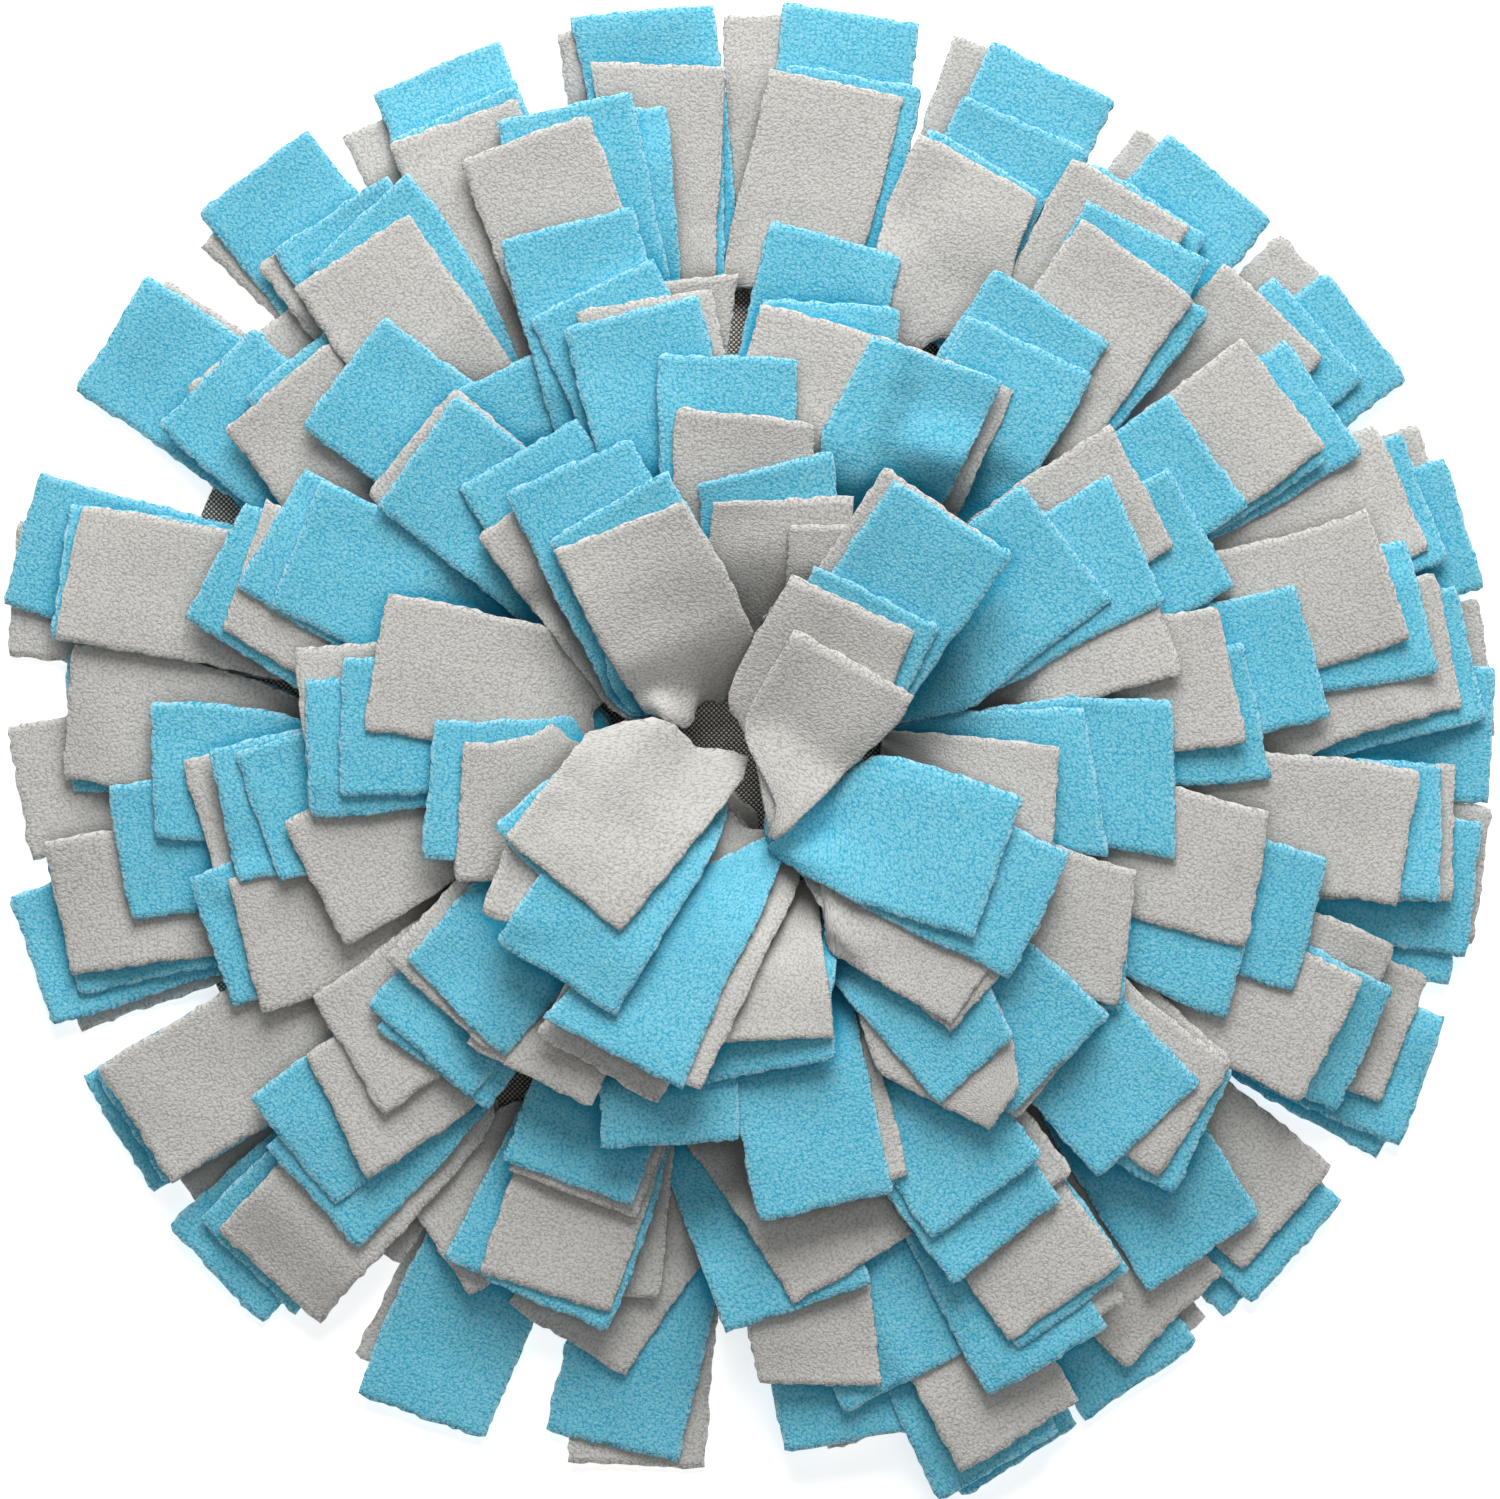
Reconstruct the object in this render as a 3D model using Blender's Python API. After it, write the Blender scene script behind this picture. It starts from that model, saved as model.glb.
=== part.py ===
"""Round snuffle mat: fleece flaps sewn in bunches to a woven cloth disc.

Metres, +Z up. The origin is the middle of the disc's underside. A bearing is in degrees clockwise
from +Y, seen from above. The flaps are laid one by one, from the rim to the middle, and each lies
on what was laid before it.
"""
import math
from collections import namedtuple

import bmesh
import bpy
import numpy as np

MM = 0.001

# Driving sizes, in millimetres
BACKING_RADIUS = 199.0
BACKING_THICKNESS = 2.0
BACKING_SIDES = 64
FLAP_WIDTH = 45.0
FLAP_THICKNESS = 1.6
GATHERED_WIDTH = 13.0      # a flap's width where it is sewn down
SPREAD_LENGTH = 24.0       # how far from its root a flap has opened to its full width
ROOT_DIAMETER = 15.0
ROOT_SIDES = 8
SEAT_GAP = 0.3             # between a root and the disc
LAYER_GAP = 0.45           # between a flap and what it lies on
SLOPE_LIMIT = 0.90         # steepest rise or fall along a flap, for each unit of run
ROLL_LIMIT = 0.60          # steepest fall across a flap
NEAR_STATIONS = (0.0, 10.0, SPREAD_LENGTH)
STATION_SPACING = 24.0     # longest run between sections past the spread
DIP_LIMIT = 5.0            # how far a section may lie under the line between its neighbours

# The height map that flaps are laid on, in millimetres
MAP_HALF = 262.0
MAP_CELL = 1.0
DROP_STEPS = 20            # how many equal steps a flap comes down in
LEAST_SHARE = 0.02         # a corner ignores a cell that it carries less of than this
STRAIGHT = 1e-6            # the turn, in radians, of a flap that lies straight

BLUE = (0.18, 0.55, 0.72, 1.0)
GREY = (0.52, 0.50, 0.48, 1.0)
BACKING_GREY = (0.28, 0.27, 0.25, 1.0)
CLOTH_ROUGHNESS = 0.95

# Each row is a bunch: where it is sewn, then its flaps from the bottom up. A flap's cloth is g for
# grey or b for blue. Its reach is from root to tip in plan, its lean is from the bunch's bearing,
# and its turn is how far its tip then curls to the right of that line.
Bunch = namedtuple("Bunch", "radius bearing cloths reaches leans turns")

RINGS = {
    "rim": (
        Bunch(155, 352, "gbbg", (89, 93, 74, 74), (-5, -1, -1, 1), (6, 4, 11, 11)),
        Bunch(155, 8, "gbbg", (90, 91, 70, 66), (-13, 0, 3, -1), (4, 1, 0, 4)),
        Bunch(155, 24, "gbbbg", (91, 91, 71, 54, 52), (-7, 1, 0, -6, -9), (3, 0, 0, 12, 15)),
        Bunch(142, 41, "gbbgbbg", (102, 104, 84, 83, 74, 63, 64),
              (-8, -3, -12, -17, -9, -1, -7), (4, 2, 6, 7, -4, -6, 2)),
        Bunch(148, 58, "gbbgbbg", (101, 101, 88, 82, 75, 62, 64),
              (-16, -5, -11, -21, 3, 0, -4), (4, 0, 2, 6, -4, -2, -2)),
        Bunch(148, 75, "gbbgbg", (99, 102, 93, 88, 81, 71),
              (-13, -5, -13, -17, 10, 1), (11, 3, 7, 10, -9, -6)),
        Bunch(155, 88, "gbbg", (94, 93, 89, 83), (-10, 4, -14, -18), (6, 2, 3, 9)),
        Bunch(150, 100, "gbbgbg", (99, 94, 97, 87, 82, 71),
              (1, 10, 4, -7, -7, -5), (-2, -15, -6, -2, 0, 6)),
        Bunch(150, 116, "bbggbg", (100, 102, 90, 74, 79, 67),
              (6, 2, -4, -8, 2, 4), (-5, -8, 0, 8, -1, -5)),
        Bunch(153, 133, "bbgb", (95, 97, 87, 77), (6, 0, -4, 16), (-5, -2, 1, -3)),
        Bunch(155, 147, "gbg", (91, 96, 85), (0, 4, -9), (-3, -7, -2)),
        Bunch(155, 161, "gbbg", (96, 102, 100, 93), (-3, -4, 0, -6), (-5, -9, -11, -6)),
        Bunch(155, 173, "gbbg", (81, 80, 67, 60), (-14, -4, -22, 3), (3, 0, 5, 5)),
        Bunch(155, 190, "gbg", (90, 85, 58), (-3, 3, 26), (-5, 0, -5)),
        Bunch(155, 206, "gbg", (88, 96, 46), (4, 0, 29), (-5, -6, 2)),
        Bunch(155, 222, "gbbg", (56, 98, 88, 85), (-7, 8, 5, 0), (1, -3, -1, 1)),
        Bunch(155, 237, "gbbg", (86, 94, 89, 86), (-9, 3, 3, 3), (6, -1, -1, -2)),
        Bunch(155, 253, "gbbg", (89, 96, 83, 83), (-3, 0, 5, 10), (0, -1, -1, -2)),
        Bunch(155, 267, "gbg", (90, 74, 75), (-3, 14, 17), (-5, -14, -10)),
        Bunch(155, 286, "gbbg", (98, 98, 82, 79), (-11, -1, -6, -6), (0, 1, -3, -1)),
        Bunch(142, 300, "gbgbbg", (106, 112, 77, 77, 64, 58),
              (7, 6, 22, 11, 35, 24), (-6, -3, 1, 3, -13, -3)),
        Bunch(145, 319, "gbgbbg", (103, 108, 80, 80, 73, 65),
              (-4, 0, 2, 7, 12, 6), (-1, 4, 3, 2, -13, 0)),
        Bunch(155, 335, "gbbg", (87, 94, 77, 74), (-10, 0, -1, -2), (12, 3, 2, 5)),
    ),
    "second": (
        Bunch(137, 341, "bbg", (80, 83, 77), (15, 7, -4), (-1, 0, 5)),
        Bunch(134, 154, "gbbg", (90, 94, 83, 79), (-5, 1, -10, -9), (-1, -5, 0, 0)),
        Bunch(115, 184, "bg", (76, 73), (-22, -39), (1, 6)),
        Bunch(120, 202, "gbbg", (73, 78, 79, 75), (-16, 5, -5, -4), (-2, -2, 7, 2)),
        Bunch(118, 226, "bbg", (92, 86, 67), (-5, 5, 5), (5, 2, 11)),
        Bunch(118, 255, "bbgbg", (96, 87, 68, 74, 65), (11, 29, 17, -14, -20), (-5, -15, -19, 10, 21)),
    ),
    "third": (
        Bunch(100, 288, "gbbb", (75, 86, 75, 65), (3, 2, 14, 14), (5, 11, -2, -12)),
        Bunch(104, 317, "bb", (79, 49), (-11, 32), (1, -13)),
        Bunch(107, 338, "gb", (68, 75), (1, 6), (5, 1)),
        Bunch(102, 36, "bb", (74, 59), (-3, -2), (1, -9)),
        Bunch(98, 58, "bbg", (82, 69, 57), (-1, 16, -3), (-2, -15, 5)),
        Bunch(106, 80, "bbg", (83, 64, 55), (2, 17, 6), (-6, -21, -7)),
        Bunch(106, 104, "bbg", (90, 74, 68), (9, 22, 3), (-7, -22, -5)),
        Bunch(110, 129, "gbgb", (78, 88, 83, 75), (3, 4, 3, 13), (1, -17, -11, -6)),
        Bunch(106, 157, "gbb", (74, 80, 64), (-16, -10, -12), (2, -6, -1)),
    ),
    "fourth": (
        Bunch(85, 173, "gb", (66, 70), (-10, -5), (5, 0)),
        Bunch(78, 202, "gbb", (83, 80, 60), (-1, 1, -25), (-2, -4, 1)),
        Bunch(70, 235, "gbbgb", (99, 83, 81, 65, 62), (-5, -20, -15, -10, -15), (7, 2, 0, -4, 3)),
        Bunch(88, 264, "bbg", (88, 77, 68), (-4, -6, -28), (-2, -7, 7)),
    ),
    "fifth": (
        Bunch(60, 281, "gbbg", (89, 88, 76, 66), (-13, -20, -16, 2), (-2, 7, 6, -5)),
        Bunch(64, 315, "gbb", (86, 82, 59), (-6, -7, 13), (1, 0, -1)),
        Bunch(74, 345, "bgb", (85, 76, 73), (-8, 3, -1), (-3, 1, 3)),
        Bunch(80, 7, "bbg", (90, 68, 61), (5, 8, 8), (2, -9, -1)),
        Bunch(68, 31, "gb", (74, 74), (-6, -9), (-3, -3)),
        Bunch(56, 61, "gbb", (88, 88, 68), (18, 1, -5), (-6, 3, -5)),
        Bunch(62, 93, "bbg", (78, 53, 41), (4, 8, 14), (-8, -21, -14)),
        Bunch(66, 119, "bg", (75, 74), (-2, -3), (-21, -17)),
        Bunch(64, 147, "gbgb", (86, 85, 75, 66), (-19, -19, 3, -1), (3, 7, 2, -6)),
    ),
    "crown": (
        Bunch(48, 165, "bg", (62, 51), (21, 17), (-16, -4)),
        Bunch(36, 186, "gggb", (101, 85, 75, 76), (37, 27, 20, 26), (-17, -3, 1, -6)),
        Bunch(45, 257, "bg", (62, 53), (8, -1), (10, 18)),
        Bunch(44, 0, "bgbgg", (83, 63, 46, 37, 40), (-5, -1, 6, 17, 51), (8, 8, -19, -19, -45)),
    ),
    "middle": (
        Bunch(28, 140, "ggbb", (84, 86, 85, 65), (-8, -28, -25, -32), (-2, 3, 2, 4)),
        Bunch(22, 252, "gbbg", (70, 60, 82, 57), (-33, -21, -41, -27), (-25, -6, 1, -8)),
        Bunch(21, 308, "gbbg", (87, 89, 71, 63), (13, 23, 27, 27), (3, 5, -4, 2)),
        Bunch(12, 100, "gbbgg", (94, 93, 58, 51, 36), (-67, -64, -69, -75, -61), (1, -2, -6, 0, -8)),
    ),
}


def collection(name):
    """A new collection in the scene."""
    made = bpy.data.collections.new(name)
    bpy.context.scene.collection.children.link(made)
    return made


def material(name, colour):
    """A plain matt cloth."""
    made = bpy.data.materials.new(name)
    made.use_nodes = True
    shader = made.node_tree.nodes["Principled BSDF"]
    shader.inputs["Base Color"].default_value = colour
    shader.inputs["Roughness"].default_value = CLOTH_ROUGHNESS
    return made


def heading(bearing):
    """Unit vector in plan, along a bearing in degrees."""
    angle = math.radians(bearing)
    return np.array((math.sin(angle), math.cos(angle)))


class Pile:
    """The height of all that is laid so far, on a square map of cells."""

    def __init__(self):
        self.middles = np.arange(-MAP_HALF, MAP_HALF, MAP_CELL)
        x, y = np.meshgrid(self.middles, self.middles, indexing="ij")
        on_backing = np.hypot(x, y) < BACKING_RADIUS + MAP_CELL
        # The floor is a gap lower than it is, so that a flap lies flat on it
        self.top = np.where(on_backing, BACKING_THICKNESS, -LAYER_GAP)

    def cells_near(self, triangle):
        """The cells in a triangle in plan or within a cell of it, and their weights on its corners."""
        first = np.searchsorted(self.middles, triangle.min(axis=0) - MAP_CELL)
        last = np.searchsorted(self.middles, triangle.max(axis=0) + MAP_CELL)
        i, j = np.meshgrid(np.arange(first[0], last[0]), np.arange(first[1], last[1]), indexing="ij")
        i, j = i.ravel(), j.ravel()
        place = np.stack((self.middles[i], self.middles[j]), axis=1) - triangle[0]
        sides = np.stack((triangle[1] - triangle[0], triangle[2] - triangle[0]), axis=1)
        share = np.linalg.solve(sides, place.T).T
        weights = np.column_stack((1.0 - share.sum(axis=1), share))
        facing = np.roll(triangle, -1, axis=0) - np.roll(triangle, 1, axis=0)
        height = abs(np.linalg.det(sides)) / np.linalg.norm(facing, axis=1)
        near = (weights * height > -MAP_CELL).all(axis=1)
        weights = np.maximum(weights[near], 0.0)
        return i[near], j[near], weights / weights.sum(axis=1, keepdims=True)


def stations(reach):
    """Distances from the root at which a flap has a section."""
    more = max(1, math.ceil((reach - SPREAD_LENGTH) / STATION_SPACING))
    return np.concatenate((NEAR_STATIONS, np.linspace(SPREAD_LENGTH, reach, more + 1)[1:]))


def flap_outline(bunch, reach, lean, turn):
    """Left and right corners of each section of a flap, in plan.

    The middle line is an arc whose chord is the reach. At a share u of it, the chord from the root
    has the length reach * sin(turn * u) / sin(turn), and lies turn * (1 - u) back from the whole
    chord. The width opens from the gathered width to the full one along a half cosine.
    """
    root = bunch.radius * heading(bunch.bearing)
    bend = math.radians(turn) if turn else STRAIGHT
    corners = []
    for distance in stations(reach):
        share = math.asin(distance / reach * math.sin(bend)) / bend
        chord = bunch.bearing + lean - turn * (1.0 - share)
        middle = root + distance * heading(chord)
        opened = 0.5 - 0.5 * math.cos(math.pi * min(1.0, distance / SPREAD_LENGTH))
        half = 0.5 * (GATHERED_WIDTH + (FLAP_WIDTH - GATHERED_WIDTH) * opened)
        across = half * heading(chord + turn * share + 90.0)
        corners.append((middle - across, middle + across))
    return np.array(corners)


def outline_triangles(sections):
    """Corner numbers of the triangles between the sections; the corners run left, right."""
    found = []
    for k in range(0, 2 * (sections - 1), 2):
        found += [(k, k + 1, k + 3), (k, k + 3, k + 2)]
    return np.array(found)


def stiff_limit(z, run, width, station, side):
    """The lowest that a corner may lie beside its neighbours, given how steep and bent cloth lies."""
    limits = [z[station, 1 - side] - ROLL_LIMIT * width[station]]
    if station > 0:
        limits.append(z[station - 1, side] - SLOPE_LIMIT * run[station - 1, side])
    if station < len(z) - 1:
        limits.append(z[station + 1, side] - SLOPE_LIMIT * run[station, side])
    if 0 < station < len(z) - 1:
        behind, ahead = run[station - 1, side], run[station, side]
        between = (z[station - 1, side] * ahead + z[station + 1, side] * behind) / (behind + ahead)
        limits.append(between - DIP_LIMIT)
    return max(limits)


def lay_flap(pile, corners):
    """Heights of the flap's underside at its corners, once it lies on the pile; the pile grows.

    The flap starts level, above all that is under it. In each sweep every corner comes down by one
    step, or less where a cell of the pile, or the stiffness of the cloth, holds it up.
    """
    flat = corners.reshape(-1, 2)
    triangles = outline_triangles(len(corners))
    found = [pile.cells_near(flat[triangle]) for triangle in triangles]
    i = np.concatenate([f[0] for f in found])
    j = np.concatenate([f[1] for f in found])
    weights = np.zeros((len(i), len(flat)))
    owner = np.repeat(triangles, [len(f[0]) for f in found], axis=0)
    np.put_along_axis(weights, owner, np.concatenate([f[2] for f in found]), axis=1)
    needed = pile.top[i, j] + LAYER_GAP
    carried = []
    for share in weights.T:
        near = share > LEAST_SHARE
        carried.append((weights[near], needed[near], share[near]))
    z = np.full((len(corners), 2), needed.max())
    heights = z.reshape(-1)
    run = np.linalg.norm(np.diff(corners, axis=0), axis=2)
    width = np.linalg.norm(corners[:, 1] - corners[:, 0], axis=1)
    step = (needed.max() - needed.min()) / DROP_STEPS
    for _ in range(2 * DROP_STEPS):
        for k, (rows, floor, share) in enumerate(carried):
            held = heights[k] - ((rows @ heights - floor) / share).min()
            heights[k] = max(held, heights[k] - step, stiff_limit(z, run, width, *divmod(k, 2)))
    heights += max(0.0, (needed - weights @ heights).max())
    np.maximum.at(pile.top, (i, j), weights @ heights + FLAP_THICKNESS)
    return heights


def flap_object(name, corners, heights, tools):
    """A flap as a closed solid: its underside, and the same sheet a thickness above it."""
    flat = corners.reshape(-1, 2)
    under = np.column_stack((flat, heights))
    over = under + (0.0, 0.0, FLAP_THICKNESS)
    count = len(flat)
    triangles = outline_triangles(len(corners))
    faces = [tuple(t[::-1]) for t in triangles.tolist()]
    faces += [tuple(t) for t in (triangles + count).tolist()]
    for k in range(0, count - 2, 2):
        left, right = (k, k + 2), (k + 1, k + 3)
        faces.append((left[0], left[0] + count, left[1] + count, left[1]))
        faces.append((right[0], right[1], right[1] + count, right[0] + count))
    faces.append((0, 1, count + 1, count))
    faces.append((count - 1, count - 2, 2 * count - 2, 2 * count - 1))
    mesh = bpy.data.meshes.new(name)
    mesh.from_pydata((np.vstack((under, over)) * MM).tolist(), [], faces)
    made = bpy.data.objects.new(name, mesh)
    made.hide_render = True
    made.display_type = "WIRE"
    tools.objects.link(made)
    return made


def cylinder(name, diameter, low, high, sides, place, home, finish):
    """An upright cylinder between two heights, all in millimetres."""
    bm = bmesh.new()
    bmesh.ops.create_cone(
        bm, cap_ends=True, segments=sides, radius1=0.5 * diameter * MM, radius2=0.5 * diameter * MM,
        depth=(high - low) * MM)
    mesh = bpy.data.meshes.new(name)
    bm.to_mesh(mesh)
    bm.free()
    mesh.materials.append(finish)
    made = bpy.data.objects.new(name, mesh)
    made.location = (place[0] * MM, place[1] * MM, 0.5 * (low + high) * MM)
    home.objects.link(made)
    return made


def flap_rows(bunch):
    """The reach, lean and turn of each flap, from the bottom up."""
    return list(zip(bunch.reaches, bunch.leans, bunch.turns))


def lay_ring(ring, bunches, pile, tools):
    """The flaps of a ring of bunches, laid a layer at a time, so that neighbours interleave.

    Gives a list of flaps for each bunch, and the height that its root has to reach.
    """
    flaps = [[] for _ in bunches]
    tops = [0.0] * len(bunches)
    for layer in range(max(len(bunch.reaches) for bunch in bunches)):
        for number, bunch in enumerate(bunches):
            if layer >= len(bunch.reaches):
                continue
            corners = flap_outline(bunch, *flap_rows(bunch)[layer])
            heights = lay_flap(pile, corners)
            name = f"{ring}_{number + 1:02d}_flap_{layer + 1}"
            flaps[number].append(flap_object(name, corners, heights, tools))
            tops[number] = max(tops[number], heights[:2].max() + FLAP_THICKNESS)
    return flaps, tops


def sew_bunch(name, bunch, flaps, top, pile, home, finish):
    """The gathered root of a bunch, with its flaps fused into it."""
    root = bunch.radius * heading(bunch.bearing)
    seat = BACKING_THICKNESS + SEAT_GAP
    stem = cylinder(name, ROOT_DIAMETER, seat, top, ROOT_SIDES, root, home, finish)
    for flap in flaps:
        join = stem.modifiers.new(flap.name, "BOOLEAN")
        join.operation = "UNION"
        join.solver = "EXACT"
        join.object = flap
    x, y = np.meshgrid(pile.middles - root[0], pile.middles - root[1], indexing="ij")
    pile.top[np.hypot(x, y) < 0.5 * ROOT_DIAMETER + MAP_CELL] = top


def build():
    """Clear the scene and make the mat."""
    for old in list(bpy.data.objects):
        bpy.data.objects.remove(old)
    home = collection("snuffle_mat")
    tools = collection("flap_solids")
    finishes = {"b": material("blue_fleece", BLUE), "g": material("grey_fleece", GREY)}
    canvas = material("woven_canvas", BACKING_GREY)
    cylinder("backing", 2.0 * BACKING_RADIUS, 0.0, BACKING_THICKNESS, BACKING_SIDES, (0.0, 0.0), home, canvas)
    pile = Pile()
    for ring, bunches in RINGS.items():
        flaps, tops = lay_ring(ring, bunches, pile, tools)
        for number, bunch in enumerate(bunches):
            finish = finishes[bunch.cloths[-1]]
            sew_bunch(f"{ring}_{number + 1:02d}", bunch, flaps[number], tops[number], pile, home, finish)


build()
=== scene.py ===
"""Looks of a round snuffle mat: fleece flaps in two colours, on a disc of coarse woven cloth.

Metres, +Z up, with the middle of the disc's underside at the origin. A bearing is in degrees
clockwise from +Y, seen from above. Each flap is its own closed sheet of fleece. It takes its
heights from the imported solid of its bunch, and its place in plan from the same rows of sizes or
from an outline of its own. It is then laid on the flaps under it.
"""
import math
from collections import namedtuple

import bpy
import numpy as np
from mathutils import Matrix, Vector


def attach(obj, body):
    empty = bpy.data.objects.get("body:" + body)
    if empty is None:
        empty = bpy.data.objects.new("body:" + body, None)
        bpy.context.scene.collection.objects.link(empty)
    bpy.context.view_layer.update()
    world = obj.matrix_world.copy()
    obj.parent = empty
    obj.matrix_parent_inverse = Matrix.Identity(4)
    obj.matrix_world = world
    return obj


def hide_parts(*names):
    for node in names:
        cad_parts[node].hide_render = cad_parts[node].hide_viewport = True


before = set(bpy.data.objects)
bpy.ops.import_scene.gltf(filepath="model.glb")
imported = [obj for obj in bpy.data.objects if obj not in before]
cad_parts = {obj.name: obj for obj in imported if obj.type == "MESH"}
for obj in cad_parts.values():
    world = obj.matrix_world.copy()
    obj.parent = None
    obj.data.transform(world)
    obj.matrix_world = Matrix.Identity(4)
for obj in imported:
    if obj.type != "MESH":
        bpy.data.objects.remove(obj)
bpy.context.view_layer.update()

MM = 0.001

# Sizes of the solids, in millimetres
BACKING_RADIUS = 199.0
BACKING_THICKNESS = 2.0
FLAP_WIDTH = 45.0
GATHERED_WIDTH = 13.0
SPREAD_LENGTH = 24.0
NEAR_STATIONS = (0.0, 10.0, SPREAD_LENGTH)
STATION_SPACING = 24.0
STRAIGHT = 1e-6            # the turn, in radians, of a flap that lies straight
CORNER_FOUND = 0.05        # how near a corner a vertex of the solid lies in plan

# Sizes of the cloth, in millimetres
BACKING_INSET = 3.5        # how far the sewn disc is drawn in at its edge
BACKING_PLACE = (-2.6, 3.0)
BACKING_EDGE = 0.4         # how far the disc's edge is rounded
KNOT_RADIUS = 4.8          # the stitched ends that hold a bunch on the disc
KNOT_TOP = 4.0
KNOT_AHEAD = 4.0           # how far the ends lie outside the place where the bunch is sewn
KNOT_FLUTES = (7, 0.2)     # how many folds run round a knot, and how deep they are
FLEECE_THICKNESS = 1.5
MOST_THICKENED = 2.0       # how many times thicker, upright, a steep sheet is
CLOTH_GAP = 0.1            # between a sheet and what it lies on
BACK_LENGTH = 7.0          # how far a flap's fold stands back behind its root
PULL_LENGTH = 42.0         # how far from the fold a pull to one side reaches
GRID_STEP = 1.1            # between points of the surface while it is laid
COLUMNS = 41               # points across a flap while it is laid
KEEP = 2                   # every second point goes into the mesh
HOLLOW_DEPTH = 0.45        # how much lower the pile is in the middle, as a share of its height
HOLLOW_RADIUS = 62.0       # where that has faded to about a third
ROOT_HEIGHT = 3.5          # where the lowest fold lies, on the knot that holds its bunch
RISE_LENGTH = 34.0         # how far from its fold a flap has risen to its place in the pile
TENT_SLOPE = 0.8           # how steeply cloth falls away from what it lies over
TENT_REACH = 36            # how many points that fall may take
MAP_HALF = 264.0           # half the side of the map of laid heights
MAP_CELL = 1.1

# How unevenly the cloth is cut and lies, in millimetres
CUT_SKEW = 0.4             # how far a tip is cut askew, at its corner
CUT_WAVE = (0.25, 0.7)     # of a tip: size, and length in half widths
CUT_LENGTH = 6.0           # how far from the tip its cut still shows
CORNER_START = 0.96        # where the rounding of a tip's corner starts, in half widths
CORNER_WIDTH = 0.04
CORNER_DEPTH = 0.5         # how much shorter a flap is at its corner
EDGE_WAVE = (0.25, 22.0)   # of a side edge: size and length
NOTCH_SHIFT = 0.1          # how far the notch between a fold's lobes wanders, in half widths
LOBE_LENGTH = 3.0          # how far from the fold its lobes still show, past their own depth
OUTLINE_LOBE_LENGTH = 10.0 # the same, on a flap with its own outline
LOBE_RISE = (0.4, 1.0)     # how high the lobes stand at the fold
LOBE_MIDDLE = 0.6
CUP = 0.5                  # how far a flap is cupped across at its tip
CUP_LEVEL = 0.35
TILT = 0.7                 # how far it is tilted there, and lifted
TIP_LIFT = (-0.2, 2.2)
SECTION_BLUR = 20          # rounds of blurring that round off the solid's sections
TENT_BLUR = 9              # the same, for the places where cloth spans other cloth
OUTLINE_BLUR = 12          # and for the corners of an outline
SLACK_SIZE = 0.6
SLACK_START = 20.0         # how far from the fold the shared swell has its full size
NUB_REACH = 0.9            # how far nubs of pile stand out from the cut edge
NUB_LEVELS = (0.35, 0.75)  # where they stand, in shares of the thickness
FACE_SHIFT = 7.0           # between the flat patterns of a sheet's two faces
RIM_SHIFT = 0.7            # how far the pattern runs on round the cut edge
PATTERN_SPREAD = 900.0     # how far apart in the pile's pattern two flaps may be cut
PATTERN_RADIUS = 7.0       # of a turned form, where its pattern is at true size
MIDDLE_RADIUS = 4.0        # of a turned form, inside which its flutes fade
NEAR_PAINTED_SHADE = (8, 6.0)     # rounds of blurring, and how deep below the pile cloth lies to take the full painted shade
WIDE_PAINTED_SHADE = (60, 14.0)

# Fleece pile: what makes up its height, and the heights at which the painted shade of its creases, the
# lint and painted highlight on its tips, and the painted shade and highlight of the tufts of its cut
# edge start and end
NUB_SHARE = 0.35
BROAD_SHARE = 0.4
FINE_SHARE = 1.5
CREASE_SHADE_HEIGHTS = (0.84, 1.14)
TIP_HEIGHTS = (1.2, 1.6)
TUFT_HEIGHTS = (0.85, 1.15)
NUB_BEND = (0.002, 0.002, 0.0)  # how far nubs are bent out of round, in metres
MOTTLE_SCALE = 38.0        # light and deep patches in a metre
TIP_LINT_AND_HIGHLIGHT = 0.32            # how much lint and painted highlight shows on the tips
EDGE_LINT_AND_HIGHLIGHT = 0.5            # and on the cut edges, where the tufts mix lint and painted highlight with painted shade
PAINTED_SHADE_SHARE = 0.75        # how much of the crease colour cloth takes as painted shade where it lies deep beside other cloth

# Bumps: strength, and height in metres
FLEECE_BUMP = (0.48, 0.0006)
WEAVE_BUMP = (0.8, 0.0004)

# Each cloth's slot, and its colours: the two that it is mottled between, that of its creases, which is
# painted shade, and that of its lint, which is also a painted highlight, with how much of the crease
# colour its creases take
SLOTS = {"b": "blue_fleece", "g": "grey_fleece"}
FLEECES = {
    "blue_fleece": (
        (0.23, 0.63, 0.78, 1.0), (0.16, 0.57, 0.73, 1.0), (0.0, 0.36, 0.58, 1.0),
        (0.56, 0.82, 0.90, 1.0), 0.72),
    "grey_fleece": (
        (0.65, 0.635, 0.605, 1.0), (0.58, 0.565, 0.535, 1.0), (0.30, 0.285, 0.26, 1.0),
        (0.78, 0.77, 0.74, 1.0), 0.55),
}

# Colours of the backing's threads
DARK_THREAD = (0.10, 0.09, 0.078, 1.0)
LIGHT_THREAD = (0.80, 0.75, 0.67, 1.0)
BETWEEN_THREADS = (0.03, 0.028, 0.026, 1.0)

# The studio, in metres
WHITE = (1.0, 1.0, 1.0, 1.0)
FLOOR_COLOUR = (0.97, 0.97, 0.97, 1.0)
FLOOR_GLOW = 0.6           # the floor's own light, which keeps it pale between the flaps
SKY_STRENGTH = 0.23
WINDOW = ((0.12, 1.8, 1.28), 1.65, 58.0)  # a light's place, size, and power in watts
TOP_FILL = ((0.3, -0.2, 2.2), 1.4, 5.0)
LENS = 150.0               # in millimetres, as the sensor is
SENSOR_WIDTH = 36.0
VIEW_WIDTH = 0.5           # what the camera sees across, at the height below
VIEW_HEIGHT = 0.012
VIEW_MIDDLE = -0.0026

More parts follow.
